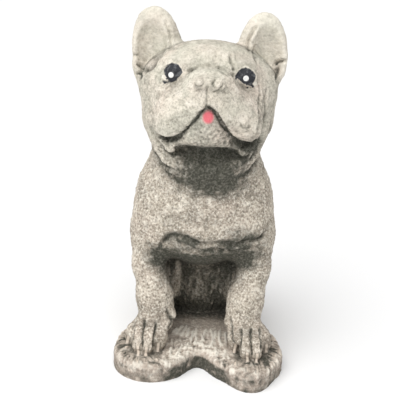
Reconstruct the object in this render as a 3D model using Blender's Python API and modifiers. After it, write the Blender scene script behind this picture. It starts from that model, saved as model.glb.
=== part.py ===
"""Sitting French bulldog for the garden, cast in one piece with its low base.

The dog is built up from clay-like lumps, which are melted into one skin, and the folds
of the face, the toes and the base's edge are then pressed into it. Its pose and
proportions are given in modules, the sculptor's share of the dog's height.
The dog looks along -Y, and the origin is at the middle of the underside.
"""

import math
from dataclasses import dataclass

import bmesh
import bpy
import numpy as np
from mathutils import Euler, Matrix

# Driving dimensions, in metres
DOG_HEIGHT = 0.360  # from the base's top to the tips of the ears
BASE_THICKNESS = 0.020
BASE_EDGE = 0.008  # rounding of the base's top edge
FOOT_FILLET = 0.006  # how the dog runs into its base
BASE_MARGIN = 0.012  # bare base around the paws and behind the rump
NOTCH_DEPTH = 0.044  # how far the bite between the front lobes goes back
NOTCH_ROUNDING = 0.026  # how softly the lobes run into the middle of the base
NOTCH_SOFTNESS = 0.008  # half the width over which the bottom of the bite is rounded
TIP_REACH = 0.013  # the lobe under the dog's left paw is drawn out this much further
TIP_RADIUS = 0.018
TIP_ROUNDING = 0.015
LOBE_TAPER = 0.58  # how much more slowly a lobe narrows behind than in front
ROUGH_VOXEL = 0.0040  # fineness of the first skin, and then of the finished one
FINE_VOXEL = 0.0028
SKIN_TRIANGLES = 8600  # what the finished solid may have

# The dog's own proportions, in modules
MODULES_HIGH = 360
MODULE = DOG_HEIGHT / MODULES_HIGH
PAW_X = 58
PAW_Y = -60
PAW_HALF_WIDTH = 23
PAW_HALF_LENGTH = 29
RUMP_Y = 112
HAUNCH_HALF_WIDTH = 70
HEAD_PIVOT = (0, -5, 225)
HEAD_TILT = 1.0  # degrees, towards the dog's left
# How far each ear stands to the dog's right, at its root and at its tip
EAR_HEIGHTS = (280, 305, 355)
RIGHT_EAR_SHIFT = (-1.5, -1, 4)
LEFT_EAR_SHIFT = (9, 3, 3)

# Base outline, worked out from the paws and the rump
LOBE_RADIUS = PAW_HALF_LENGTH * MODULE + BASE_MARGIN
LOBE_X = (PAW_X + PAW_HALF_WIDTH) * MODULE + BASE_MARGIN - LOBE_RADIUS
WAIST_HALF_WIDTH = HAUNCH_HALF_WIDTH * MODULE
DEPTH = TIP_REACH + LOBE_RADIUS + (RUMP_Y - PAW_Y) * MODULE + BASE_MARGIN
LOBE_Y = TIP_REACH + LOBE_RADIUS - DEPTH / 2
NOTCH_Y = LOBE_Y - LOBE_RADIUS + NOTCH_DEPTH
TIP_X = LOBE_X + 0.004
TIP_Y = TIP_RADIUS - DEPTH / 2
DOG_ORIGIN = np.array((0.0, LOBE_Y - PAW_Y * MODULE, BASE_THICKNESS))


def turn_matrix(turn):
    """Rotation as a 3x3 array, from turns about X, Y and Z in degrees."""
    return np.array(Euler([math.radians(a) for a in turn]).to_matrix())


def lengths(vectors):
    return np.sqrt(np.einsum("ij,ij->i", vectors, vectors))


def join(first, second, blend):
    """Union of two distances, melted together over the width blend."""
    near = np.maximum(blend - np.abs(first - second), 0) / blend
    return np.minimum(first, second) - near * near * blend / 4


def cut(first, second, blend):
    """What is left of first outside second, with its rim rounded over blend."""
    return -join(-first, second, blend)


@dataclass
class Ball:
    """An ellipsoid lump of clay; blend is how widely it melts into what it touches."""

    centre: tuple
    radii: tuple
    blend: float = 8
    turn: tuple = (0, 0, 0)

    def distance(self, points):
        local = points - np.array(self.centre)
        if any(self.turn):
            local = local @ turn_matrix(self.turn)
        near = lengths(local / np.array(self.radii))
        far = lengths(local / np.array(self.radii) ** 2)
        return near * (near - 1) / np.maximum(far, 1e-9)

    def shell(self, place):
        """The lump as a closed mesh."""
        clay = bmesh.new()
        spin = Euler([math.radians(a) for a in self.turn]).to_matrix().to_4x4()
        size = Matrix.Diagonal((*self.radii, 1))
        matrix = place @ Matrix.Translation(self.centre) @ spin @ size
        bmesh.ops.create_uvsphere(clay, u_segments=20, v_segments=12, radius=1, matrix=matrix)
        return clay


@dataclass
class Limb:
    """A tapering round lump from start to end, with a radius for each."""

    start: tuple
    end: tuple
    start_radius: float
    end_radius: float
    blend: float = 8

    def distance(self, points):
        start = np.array(self.start, float)
        along = np.array(self.end, float) - start
        share = np.clip((points - start) @ along / (along @ along), 0, 1)
        radius = self.start_radius + share * (self.end_radius - self.start_radius)
        return lengths(points - start - share[:, None] * along) - radius

    def shell(self, place):
        """The lump as a closed mesh."""
        clay = bmesh.new()
        for centre, radius in ((self.start, self.start_radius), (self.end, self.end_radius)):
            matrix = place @ Matrix.Translation(centre) @ Matrix.Scale(radius, 4)
            bmesh.ops.create_uvsphere(clay, u_segments=16, v_segments=10, radius=1, matrix=matrix)
        hull = bmesh.ops.convex_hull(clay, input=clay.verts)
        bmesh.ops.delete(clay, geom=hull["geom_interior"], context="VERTS")
        return clay


def melt(lumps, points):
    """Distance to all the lumps, each melted into the ones before it."""
    field = lumps[0].distance(points)
    for lump in lumps[1:]:
        field = join(field, lump.distance(points), lump.blend)
    return field


# The lumps of one side stand for both, because the field is read at the absolute x
TRUNK = [
    Ball((0, -4, 140), (62, 50, 58)),  # chest
    Ball((0, 0, 161), (75, 50, 64), 16),  # neck and shoulders
    Ball((0, 2, 210), (55, 46, 40), 20),  # upper neck
    Limb((0, 14, 262), (0, 20, 206), 34, 42, 20),  # nape
    Ball((0, -28, 194), (42, 22, 28), 14),  # throat
    Ball((0, -24, 122), (50, 32, 26), 12),  # brisket
    Limb((0, 20, 140), (0, 66, 68), 48, 46, 26),  # barrel
    Ball((0, 68, 56), (54, 42, 56), 18),  # rump
    Ball((0, 54, 40), (42, 34, 60), 10),  # belly, down to the base
    Ball((50, -12, 129), (27, 34, 41), 16),  # shoulder
    Limb((57, -14, 118), (60, -26, 84), 22, 16, 12),  # upper arm
    Ball((45, 48, 46), (25, 50, 46), 12),  # thigh
    Limb((56, 44, 12), (56, 0, 9), 14, 11, 8),  # hind foot
    Limb((53, -4, 92), (52, -12, 6), 13, 12, 10),  # stone left between fore and hind leg
    Ball((0, RUMP_Y - 6, 26), (12, 10, 11), 6),  # tail
    Limb((59, -26, 86), (50.5, -37, 52), 16, 19, 8),  # elbow
    Limb((50.5, -37, 52), (49, -42, 26), 19, 18.5, 8),  # forearm
    Ball((32, -42, 36), (7, 8, 10), 6),  # dewclaw
    Ball((PAW_X, PAW_Y + 12, 9), (22, 19, 13), 8, (0, 0, 12)),  # paw
]

# Roots and tips of the toes from the inner to the outer, of the dog's right paw and its left
RIGHT_TOES = [
    Limb((41, -53, 24), (42.5, -65, 7), 7, 6.5, 5),
    Limb((53, -55, 28), (55.5, -75, 7), 7, 6.5, 5),
    Limb((64.5, -55, 28), (65.5, -72, 7), 7, 6.5, 5),
    Limb((66, -48, 23), (76, -49, 7), 6, 6.5, 5),
]
LEFT_TOES = [
    Limb((41, -52, 21), (40, -61.5, 7), 7, 6.5, 5),
    Limb((51, -55, 26), (51, -79, 7), 7, 6.5, 5),
    Limb((62, -55, 26), (62.5, -80, 7), 7, 6.5, 5),
    Limb((66, -50, 23), (74, -58, 7), 6, 6.5, 5),
]

SKULL = [
    Ball((0, -6, 284), (71, 44, 46)),  # skull
    Ball((0, -28, 298), (46, 26, 28), 14),  # forehead
    Ball((40, -14, 261), (28, 38, 40), 16),  # cheek
    Ball((46, -14, 247), (21, 30, 21), 10),  # lower cheek
    Ball((39, -16, 227), (20, 28, 19), 10),  # jowl
    Ball((36, -43, 299), (11, 8, 10), 3),  # eye
    Limb((52, -34, 233), (37, -54, 226), 7, 5, 5),  # roll from the cheek to the chin
    Limb((48, -30, 218), (30, -44, 208), 9, 8, 6),  # rolls of the throat
    Limb((30, -44, 208), (0, -50, 202), 8, 6, 6),
]

# The muzzle ends below at the line of the mouth, and the jaw shows underneath
MUZZLE = [
    Ball((0, -50, 286), (30, 34, 23)),  # bridge
    Ball((0, -42, 264), (54, 44, 31), 12),  # both flews
    Ball((37, -54, 252), (18, 22, 17), 8),  # corner of the flew
    Ball((0, -77, 297), (13, 8, 7), 4),  # nose
    Ball((8, -81, 297), (6, 5, 5), 2),  # wing of the nostril
]
MOUTH_LINE = ((0, 277), (9, 270), (15, 261), (21, 252), (26, 245), (34, 240), (42, 238), (52, 240))
JAW = [
    Ball((0, -44, 243.5), (36, 30, 16.5)),
    Ball((0, -49, 264), (27, 31, 20), 22),
    Limb((0, -62, 238), (33, -56, 229), 7, 5, 6),  # edge of the chin
]

EARS = [
    Ball((56, 6, 304), (26, 13, 34), 10),
    Ball((57, 7, 326), (24, 11, 34), 14),
    Limb((72, 3, 296), (64, -2, 262), 9, 8, 10),
]
EAR_CUP = Ball((62, -8, 316), (18, 14, 37), 3)


@dataclass
class Fold:
    """A groove pressed in from the front, along a line of (x, z) points."""

    line: tuple
    width: float
    depth: float


FACE_FOLDS = [
    Fold(((0, 291), (0, 277)), 2, 3),  # from the nose to the mouth
    Fold(((8, 299), (9, 296)), 2.2, 5),  # nostril
    Fold(((0, 309), (10, 308), (20, 303), (24, 296), (30, 289)), 3, 2),  # round the nose
    Fold(((57, 288), (58, 272), (56, 254)), 3, 1.5),  # behind the flew
    Fold(((10, 324), (9, 312)), 3, 1.5),  # brow
]
CHEST_FOLDS = [
    Fold(((0, 125), (11, 127), (21, 129), (33, 128), (41, 122), (47, 112)), 4, 3),
    Fold(((40, 123), (52, 126), (66, 132)), 4, 2),
]
FOLDS_END = -18  # no fold reaches further back than this y


def nearest_on_line(points, line):
    """Distance from each point to a line through the points of line."""
    best = np.full(len(points), np.inf)
    for start, end in zip(line, line[1:]):
        start = np.array(start, float)
        along = np.array(end, float) - start
        share = np.clip((points - start) @ along / (along @ along), 0, 1)
        best = np.minimum(best, lengths(points - start - share[:, None] * along))
    return best


def pressed(field, points, folds):
    """The field with the folds pressed into its front."""
    from_front = points[:, (0, 2)]
    facing = np.clip((FOLDS_END - points[:, 1]) / 10, 0, 1)
    for fold in folds:
        share = nearest_on_line(from_front, fold.line) / fold.width
        field = field + fold.depth * facing * np.exp(-share * share)
    return field


def under_mouth(points):
    """Distance to everything below the line of the mouth."""
    line_x, line_z = np.array(MOUTH_LINE, float).T
    return (points[:, 2] - np.interp(points[:, 0], line_x, line_z)) * 0.8


def head_space(points):
    """The same points as the head sees them, upright in its own frame."""
    pivot = np.array(HEAD_PIVOT, float)
    return (points - pivot) @ turn_matrix((0, HEAD_TILT, 0)) + pivot


def one_sided(points):
    folded = points.copy()
    folded[:, 0] = np.abs(folded[:, 0])
    return folded


def ear_field(points):
    """Distance to both ears, each shifted by itself."""
    right = np.interp(points[:, 2], EAR_HEIGHTS, RIGHT_EAR_SHIFT)
    left = np.interp(points[:, 2], EAR_HEIGHTS, LEFT_EAR_SHIFT)
    shifted = points.copy()
    shifted[:, 0] += np.where(points[:, 0] < 0, right, left)
    shifted = one_sided(shifted)
    return cut(melt(EARS, shifted), EAR_CUP.distance(shifted), EAR_CUP.blend)


def head_field(points):
    """Distance to the head, from points in its own frame."""
    folded = one_sided(points)
    skull = melt(SKULL, folded)
    muzzle = cut(melt(MUZZLE, folded), under_mouth(folded), 5)
    head = join(join(skull, melt(JAW, folded), 5), muzzle, 6)
    ears = ear_field(points)
    return pressed(join(head, ears, 6), folded, FACE_FOLDS)


def dog_field(points):
    """Distance to the dog's skin, in modules."""
    folded = one_sided(points)
    toes = np.where(points[:, 0] < 0, melt(RIGHT_TOES, folded), melt(LEFT_TOES, folded))
    body = pressed(melt(TRUNK, folded), folded, CHEST_FOLDS)
    return join(join(body, toes, 4), head_field(head_space(points)), 10)


def base_outline(points):
    """Distance in plan to the base's edge: two lobes in front and a plain round back."""
    x, y = points[:, 0], points[:, 1]
    behind = y - LOBE_Y
    behind = np.where(behind > 0, behind * LOBE_TAPER, behind)
    lobe = np.hypot(np.hypot(x, NOTCH_SOFTNESS) - LOBE_X, behind) - LOBE_RADIUS
    tip = np.hypot(x - TIP_X, y - TIP_Y) - TIP_RADIUS
    lobe = join(lobe, tip, TIP_ROUNDING)
    back = DEPTH / 2
    across = np.abs(x) - WAIST_HALF_WIDTH + LOBE_RADIUS
    along = np.abs(y - (NOTCH_Y + back) / 2) - (back - NOTCH_Y) / 2 + LOBE_RADIUS
    slab = np.hypot(np.maximum(across, 0), np.maximum(along, 0))
    slab = slab + np.minimum(np.maximum(across, along), 0) - LOBE_RADIUS
    return join(lobe, slab, NOTCH_ROUNDING)


def base_field(points):
    """Distance to the base, in metres, with its top edge rounded off."""
    outline = base_outline(points) + BASE_EDGE
    top = points[:, 2] - BASE_THICKNESS + BASE_EDGE
    edge = np.hypot(np.maximum(outline, 0), np.maximum(top, 0))
    shape = edge + np.minimum(np.maximum(outline, top), 0) - BASE_EDGE
    return np.maximum(shape, -points[:, 2] - BASE_THICKNESS)


def statue_field(points):
    dog = dog_field((points - DOG_ORIGIN) / MODULE) * MODULE
    return join(dog, base_field(points), FOOT_FILLET)


def settle(mesh, rounds, longest):
    """Moves every vertex onto the statue's skin, by steps along its slope."""
    points = np.empty(len(mesh.vertices) * 3)
    mesh.vertices.foreach_get("co", points)
    points = points.reshape(-1, 3)
    reach = 0.0004
    for _ in range(rounds):
        field = statue_field(points)
        slope = np.empty_like(points)
        for axis in range(3):
            step = np.zeros(3)
            step[axis] = reach
            slope[:, axis] = (statue_field(points + step) - field) / reach
        steep = np.maximum(np.einsum("ij,ij->i", slope, slope), 0.2)
        points -= slope * (np.clip(field, -longest, longest) / steep)[:, None]
    mesh.vertices.foreach_set("co", points.ravel())
    mesh.update()


def base_disc(x, y, radius):
    """A round piece of the base, twice as high so that its underside can be cut flat."""
    disc = bmesh.new()
    bmesh.ops.create_cone(
        disc, cap_ends=True, segments=32, radius1=radius, radius2=radius,
        depth=2 * BASE_THICKNESS, matrix=Matrix.Translation((x, y, 0)),
    )
    return disc


def base_middle():
    """The straight-sided piece of the base between its discs."""
    block = bmesh.new()
    size = Matrix.Diagonal((2 * WAIST_HALF_WIDTH, DEPTH / 2 - NOTCH_Y, 2 * BASE_THICKNESS, 1))
    middle = Matrix.Translation((0, (DEPTH / 2 + NOTCH_Y) / 2, 0))
    bmesh.ops.create_cube(block, size=1, matrix=middle @ size)
    return block


def rough_clay():
    """All the lumps as overlapping closed shells in one mesh."""
    left = Matrix.Translation(DOG_ORIGIN) @ Matrix.Scale(MODULE, 4)
    right = left @ Matrix.Scale(-1, 4, (1, 0, 0))
    shells = [base_middle(), base_disc(TIP_X, TIP_Y, TIP_RADIUS)]
    shells += [base_disc(x, LOBE_Y, LOBE_RADIUS) for x in (-LOBE_X, LOBE_X)]
    for lump in TRUNK + SKULL + MUZZLE + JAW + EARS:
        shells += [lump.shell(left), lump.shell(right)]
    shells += [toe.shell(left) for toe in LEFT_TOES]
    shells += [toe.shell(right) for toe in RIGHT_TOES]
    mesh = bpy.data.meshes.new("rough_clay")
    clay = bmesh.new()
    for shell in shells:
        shell.to_mesh(mesh)
        shell.free()
        clay.from_mesh(mesh)
    bmesh.ops.recalc_face_normals(clay, faces=clay.faces)
    clay.to_mesh(mesh)
    clay.free()
    return mesh


def reskin(mesh, modifier, **settings):
    """A copy of the mesh with one modifier applied."""
    worker = bpy.data.objects.new("worker", mesh)
    bpy.context.scene.collection.objects.link(worker)
    step = worker.modifiers.new(modifier.title(), modifier)
    for name, value in settings.items():
        setattr(step, name, value)
    graph = bpy.context.evaluated_depsgraph_get()
    result = bpy.data.meshes.new_from_object(worker.evaluated_get(graph))
    bpy.data.objects.remove(worker)
    return result


def flat_underside(mesh):
    """Cuts the mesh off at z = 0 and closes the cut."""
    skin = bmesh.new()
    skin.from_mesh(mesh)
    cut_faces = bmesh.ops.bisect_plane(
        skin, geom=skin.verts[:] + skin.edges[:] + skin.faces[:], dist=1e-6,
        plane_co=(0, 0, 0), plane_no=(0, 0, -1), clear_outer=True,
    )
    rim = [item for item in cut_faces["geom_cut"] if isinstance(item, bmesh.types.BMEdge)]
    bmesh.ops.contextual_create(skin, geom=rim)
    bmesh.ops.recalc_face_normals(skin, faces=skin.faces)
    skin.to_mesh(mesh)
    skin.free()


def cast_stone():
    stone = bpy.data.materials.new("cast_stone")
    stone.use_nodes = True
    shader = stone.node_tree.nodes["Principled BSDF"]
    shader.inputs["Base Color"].default_value = (0.47, 0.44, 0.38, 1)
    shader.inputs["Roughness"].default_value = 0.9
    shader.inputs["Metallic"].default_value = 0
    return stone


def build_statue(triangles=SKIN_TRIANGLES):
    mesh = rough_clay()
    for voxel in (ROUGH_VOXEL, FINE_VOXEL):
        mesh = reskin(mesh, "REMESH", mode="VOXEL", voxel_size=voxel)
        settle(mesh, 3, voxel)
    mesh = reskin(mesh, "SMOOTH", factor=0.5, iterations=2)
    settle(mesh, 1, FINE_VOXEL / 3)
    mesh.calc_loop_triangles()
    share = triangles / len(mesh.loop_triangles)
    mesh = reskin(mesh, "DECIMATE", ratio=share)
    flat_underside(mesh)
    mesh.shade_smooth()
    mesh.materials.append(cast_stone())
    statue = bpy.data.objects.new("bulldog_statue", mesh)
    mesh.name = "bulldog_statue"
    return statue


def main():
    for old in list(bpy.data.objects):
        bpy.data.objects.remove(old)
    collection = bpy.data.collections.new("bulldog_garden_statue")
    bpy.context.scene.collection.children.link(collection)
    collection.objects.link(build_statue())


if __name__ == "__main__":
    main()
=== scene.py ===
# %% [markdown]
# # A sitting bulldog for the garden
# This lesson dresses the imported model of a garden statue: a French bulldog that sits on a low
# base, all cast in one piece in pale stone, with painted eyes and a dab of pink for the tongue.
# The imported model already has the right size, pose and main forms. What it lacks is what a
# hand gives a casting: wrinkles, nails, tool strokes, a sandy grain and stains.

import math
from dataclasses import dataclass

import bmesh
import bpy
import numpy as np
from mathutils import Euler, Matrix, Vector, noise


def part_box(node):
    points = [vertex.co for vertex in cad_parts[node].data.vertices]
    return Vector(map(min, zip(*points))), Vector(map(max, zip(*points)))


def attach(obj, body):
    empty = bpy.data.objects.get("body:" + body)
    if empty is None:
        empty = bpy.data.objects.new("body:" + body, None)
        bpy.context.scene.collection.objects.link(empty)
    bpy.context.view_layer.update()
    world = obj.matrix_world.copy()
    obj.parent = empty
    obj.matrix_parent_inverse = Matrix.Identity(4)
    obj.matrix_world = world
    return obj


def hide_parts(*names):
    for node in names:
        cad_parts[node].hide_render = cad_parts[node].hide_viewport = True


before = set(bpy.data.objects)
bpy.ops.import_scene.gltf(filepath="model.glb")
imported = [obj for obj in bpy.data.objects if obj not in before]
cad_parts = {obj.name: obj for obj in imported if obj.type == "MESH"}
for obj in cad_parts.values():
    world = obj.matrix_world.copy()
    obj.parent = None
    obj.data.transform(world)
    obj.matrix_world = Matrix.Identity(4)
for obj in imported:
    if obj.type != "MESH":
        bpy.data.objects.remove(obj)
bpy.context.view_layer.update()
low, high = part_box("bulldog_statue")
print("packed statue, mm:", [round((b - a) * 1000, 1) for a, b in zip(low, high)])

# %% [markdown]
# ## Measures
# The statue is modelled in modules, the sculptor's way of counting in shares of the height:
# 360 modules from the top of the base to the tips of the ears, which is one millimetre each
# at this size. X goes to the dog's left, -Y is where it looks, and Z is up.

# %% Measures
DOG_HEIGHT = 0.360
BASE_THICKNESS = 0.020
BASE_EDGE = 0.0045
FOOT_FILLET = 0.003
NAIL_SEAM = 0.0005
BASE_MARGIN = 0.012
NOTCH_DEPTH = 0.044
NOTCH_ROUNDING = 0.026
NOTCH_SOFTNESS = 0.008
TIP_REACH = 0.013
TIP_RADIUS = 0.018
TIP_ROUNDING = 0.015
LOBE_TAPER = 0.58

MODULE = DOG_HEIGHT / 360
PAW_X, PAW_Y = 58, -60
PAW_HALF_WIDTH, PAW_HALF_LENGTH = 23, 29
RUMP_Y = 112
HAUNCH_HALF_WIDTH = 70
HEAD_PIVOT, HEAD_TILT = (0, -5, 225), 1.0

LOBE_RADIUS = PAW_HALF_LENGTH * MODULE + BASE_MARGIN
LOBE_X = (PAW_X + PAW_HALF_WIDTH) * MODULE + BASE_MARGIN - LOBE_RADIUS
WAIST_HALF_WIDTH = HAUNCH_HALF_WIDTH * MODULE
DEPTH = TIP_REACH + LOBE_RADIUS + (RUMP_Y - PAW_Y) * MODULE + BASE_MARGIN
LOBE_Y = TIP_REACH + LOBE_RADIUS - DEPTH / 2
NOTCH_Y = LOBE_Y - LOBE_RADIUS + NOTCH_DEPTH
TIP_X, TIP_Y = LOBE_X + 0.004, TIP_RADIUS - DEPTH / 2
DOG_ORIGIN = np.array((0.0, LOBE_Y - PAW_Y * MODULE, BASE_THICKNESS))
print("one module is", MODULE * 1000, "mm, and the base is", round(DEPTH * 1000), "mm deep")

# %% [markdown]
# ## Clay that melts together
# A sculptor adds lumps of clay and strokes them into each other. Distances can do the same:
# each lump says how far a point is from its skin, and a soft minimum joins two of them with
# a rounded seam. A subdivision surface would need its edge loops planned beforehand.

# %% Joining and cutting distances
def lengths(vectors):
    return np.sqrt(np.einsum("ij,ij->i", vectors, vectors))


def join(first, second, blend):
    """Union of two distances, melted together over the width blend."""
    near = np.maximum(blend - np.abs(first - second), 0) / blend
    return np.minimum(first, second) - near * near * blend / 4


def cut(first, second, blend):
    """What is left of first outside second, with its rim rounded over blend."""
    return -join(-first, second, blend)


print("two skins 1 away, melted over 8, come to", join(1.0, 1.0, 8.0))

# %% [markdown]
# ### Lumps
# Two kinds are enough for a dog: an ellipsoid for masses such as the skull, and a tapering
# limb for legs and toes. Each also gives itself as a closed mesh, to start the skin from.

# %% Two kinds of lump
def turn_matrix(turn):
    return np.array(Euler([math.radians(a) for a in turn]).to_matrix())


@dataclass
class Ball:
    """An ellipsoid lump; blend is how widely it melts into what it touches."""

    centre: tuple
    radii: tuple
    blend: float = 8
    turn: tuple = (0, 0, 0)

    def distance(self, points):
        local = points - np.array(self.centre)
        if any(self.turn):
            local = local @ turn_matrix(self.turn)
        near = lengths(local / np.array(self.radii))
        far = lengths(local / np.array(self.radii) ** 2)
        return near * (near - 1) / np.maximum(far, 1e-9)

    def shell(self, place):
        clay = bmesh.new()
        spin = Euler([math.radians(a) for a in self.turn]).to_matrix().to_4x4()
        size = Matrix.Diagonal((*self.radii, 1))
        matrix = place @ Matrix.Translation(self.centre) @ spin @ size
        bmesh.ops.create_uvsphere(clay, u_segments=20, v_segments=12, radius=1, matrix=matrix)
        return clay


@dataclass
class Limb:
    """A tapering round lump from start to end, with a radius for each."""

    start: tuple
    end: tuple
    start_radius: float
    end_radius: float
    blend: float = 8

    def distance(self, points):
        start = np.array(self.start, float)
        along = np.array(self.end, float) - start
        share = np.clip((points - start) @ along / (along @ along), 0, 1)
        radius = self.start_radius + share * (self.end_radius - self.start_radius)
        return lengths(points - start - share[:, None] * along) - radius

    def shell(self, place):
        clay = bmesh.new()
        for centre, radius in ((self.start, self.start_radius), (self.end, self.end_radius)):
            matrix = place @ Matrix.Translation(centre) @ Matrix.Scale(radius, 4)
            bmesh.ops.create_uvsphere(clay, u_segments=16, v_segments=10, radius=1, matrix=matrix)
        hull = bmesh.ops.convex_hull(clay, input=clay.verts)
        bmesh.ops.delete(clay, geom=hull["geom_interior"], context="VERTS")
        return clay


def melt(lumps, points):
    """Distance to all the lumps, each melted into the ones before it."""
    field = lumps[0].distance(points)
    for lump in lumps[1:]:
        field = join(field, lump.distance(points), lump.blend)
    return field


print("from 15 to a ball of 10:", Ball((0, 0, 0), (10, 10, 10)).distance(np.array([[15, 0, 0]])))

# %% [markdown]
# ## Body and legs
# A French bulldog is a barrel on short bowed legs, with shoulders broader than its rump. The
# lumps of one side stand for both, because the distance is read at the absolute value of x.

# %% The trunk
TRUNK = [
    Ball((0, -4, 140), (62, 50, 58)),  # chest
    Ball((0, 0, 161), (75, 50, 64), 16),  # neck and shoulders
    Ball((0, 2, 210), (55, 46, 40), 20),  # upper neck
    Limb((0, 14, 262), (0, 20, 206), 34, 42, 20),  # nape
    Ball((0, -28, 194), (42, 22, 28), 14),  # throat
    Ball((0, -24, 122), (50, 32, 26), 12),  # brisket
    Limb((0, 20, 140), (0, 66, 68), 48, 46, 26),  # barrel
    Ball((0, 68, 56), (54, 42, 56), 18),  # rump
    Ball((0, 54, 40), (42, 34, 60), 10),  # belly, down to the base
    Ball((50, -12, 129), (27, 34, 41), 16),  # shoulder
    Limb((57, -14, 118), (60, -26, 84), 22, 16, 12),  # upper arm
    Ball((45, 48, 46), (25, 50, 46), 12),  # thigh
    Limb((56, 44, 12), (56, 0, 9), 14, 11, 8),  # hind foot
    Limb((53, -4, 92), (52, -12, 6), 13, 12, 10),  # stone left between fore and hind leg
    Ball((0, RUMP_Y - 6, 26), (12, 10, 11), 6),  # tail
    Limb((59, -26, 86), (50.5, -37, 52), 16, 19, 8),  # elbow
    Limb((50.5, -37, 52), (49, -42, 26), 19, 18.5, 8),  # forearm
    Ball((PAW_X, PAW_Y + 12, 8), (21, 19, 13), 8, (0, 0, 12)),  # paw
]
print(len(TRUNK), "lumps in the trunk and legs")

# %% [markdown]
# ## Toes and nails
# The toes are fingers of clay that fan out from the wrist, each with a knuckle, and the
# nails are laid on their tips. Strips of clay run from the leg down between them. The two
# paws differ, as they do on a hand-modelled dog, so each has lists of its own.

# %% Toes
def toe(root, tip, size=6.6):
    """A toe from its root at the wrist over the knuckle to its tip on the base."""
    knuckle = [a + 0.6 * (b - a) for a, b in zip(root, tip)]
    knuckle[1] -= 2
    knuckle[2] += 2
    return [
        Limb(root, tuple(knuckle), size - 0.6, size, 8),
        Limb(tuple(knuckle), tip, size, size - 0.6, 6),
    ]


def nail(x, y, lean=0.0):
    """A nail from the top of a toe's tip down to the base at x, y."""
    return Limb((x - lean, y + 6.5, 11.5), (x, y, 1), 2.3, 1.9, 0.6)


RIGHT_TOES = [
    *toe((41, -54, 25), (42.5, -65, 7)),
    *toe((53, -55, 28), (55.5, -75, 7)),
    *toe((64.5, -55, 28), (65.5, -72, 7)),
    *toe((66, -48, 23), (76.5, -49, 7), 6.2),
]
RIGHT_NAILS = [nail(44, -71, 0.5), nail(56.5, -84, 1), nail(64.5, -81.5, -1), nail(79, -55, 2)]
LEFT_TOES = [
    *toe((41, -53, 22), (40, -61.5, 7), 6.2),
    *toe((51, -55, 26), (51, -79, 7)),
    *toe((62, -55, 26), (62.5, -80, 7)),
    *toe((66, -50, 23), (74, -58, 7), 6.4),
]
LEFT_NAILS = [nail(39.6, -67, -1), nail(53, -88.5, 0.5), nail(63, -90, -0.5), nail(75, -66, 0.5)]
print(len(RIGHT_NAILS) + len(LEFT_NAILS), "nails")

# %% Wrists
WRISTS = {
    "right": [
        Limb((38, -42, 42), (29, -46, 33), 8, 3.4, 7),
        Limb((39, -45, 28), (34, -49, 24), 6, 4, 5),
    ],
    "left": [
        Limb((37, -43, 44), (31.5, -46, 27), 6, 3.6, 6),
        Limb((37, -48, 24), (36, -56, 14), 4, 3.4, 3),
    ],
}
print(sum(len(strips) for strips in WRISTS.values()), "strips at the wrists")

# %% [markdown]
# ## Head
# The head is as wide as the chest: a flat skull, cheeks that hang into rolls, and a muzzle
# pushed back between the eyes. It is cut off along the mouth, so that the jaw shows below.

# %% Skull, muzzle and jaw
SKULL = [
    Ball((0, -6, 284), (71, 44, 46)),  # skull
    Ball((0, -28, 298), (46, 26, 28), 14),  # forehead
    Ball((40, -14, 261), (28, 38, 40), 16),  # cheek
    Ball((46, -14, 247), (21, 30, 21), 10),  # lower cheek
    Ball((39, -16, 227), (20, 28, 19), 10),  # jowl
    Ball((36, -43, 299), (11, 8, 10), 3),  # eye
    Limb((52, -32, 231), (37, -52, 225), 6.5, 4.5, 4),  # roll from the cheek to the chin
    Limb((48, -30, 218), (30, -44, 208), 9, 8, 5),  # rolls of the throat
    Limb((30, -44, 208), (0, -50, 202), 8, 6, 6),
]
MUZZLE = [
    Ball((0, -50, 286), (30, 34, 23)),  # bridge
    Ball((0, -42, 264), (54, 44, 31), 12),  # both flews
    Ball((37, -54, 252), (18, 22, 17), 8),  # corner of the flew
    Ball((0, -77, 297), (12, 8, 7), 4),  # nose
    Ball((8.5, -81, 297), (6.5, 5.5, 6), 1.5),  # wing of the nostril
]
MOUTH_LINE = ((0, 277), (9, 270), (15, 261), (21, 252), (26, 245), (34, 240), (42, 238), (52, 240))
UNDER_MOUTH_SLOPE = 0.8  # turns a height over the slanting line into about a distance
JAW = [
    Ball((0, -44, 243.5), (36, 30, 16.5)),
    Ball((0, -49, 264), (27, 31, 20), 22),
    Limb((0, -60, 243.5), (33, -56, 232), 6, 4.5, 6),  # edge of the chin
]


def under_mouth(points):
    """Distance to everything below the line of the mouth."""
    line_x, line_z = np.array(MOUTH_LINE, float).T
    return (points[:, 2] - np.interp(points[:, 0], line_x, line_z)) * UNDER_MOUTH_SLOPE


print(len(SKULL) + len(MUZZLE) + len(JAW), "lumps in the head")

# %% [markdown]
# ### Ears
# The ears stand up like a bat's, and the dog's right one stands further out. Each is made of
# two ellipsoids and a root, and a third ellipsoid is cut out of its front for the cup.

# %% Ears
EARS = [
    Ball((56, 6, 304), (26, 13, 34), 10),
    Ball((57, 7, 326), (24, 11, 34), 14),
    Limb((72, 3, 296), (64, -2, 262), 9, 8, 10),
]
EAR_CUP = Ball((62, -8, 316), (18, 14, 37), 3)
# How far each ear stands to the dog's right at three heights, from its root to its tip
EAR_HEIGHTS = (280, 305, 355)
RIGHT_EAR_SHIFT = (-1.5, -1, 4)
LEFT_EAR_SHIFT = (9, 3, 3)


def one_sided(points):
    folded = points.copy()
    folded[:, 0] = np.abs(folded[:, 0])
    return folded


def ear_field(points):
    right = np.interp(points[:, 2], EAR_HEIGHTS, RIGHT_EAR_SHIFT)
    left = np.interp(points[:, 2], EAR_HEIGHTS, LEFT_EAR_SHIFT)
    shifted = points.copy()
    shifted[:, 0] += np.where(points[:, 0] < 0, right, left)
    shifted = one_sided(shifted)
    return cut(melt(EARS, shifted), EAR_CUP.distance(shifted), EAR_CUP.blend)


print(len(EARS), "lumps in each ear")

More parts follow.
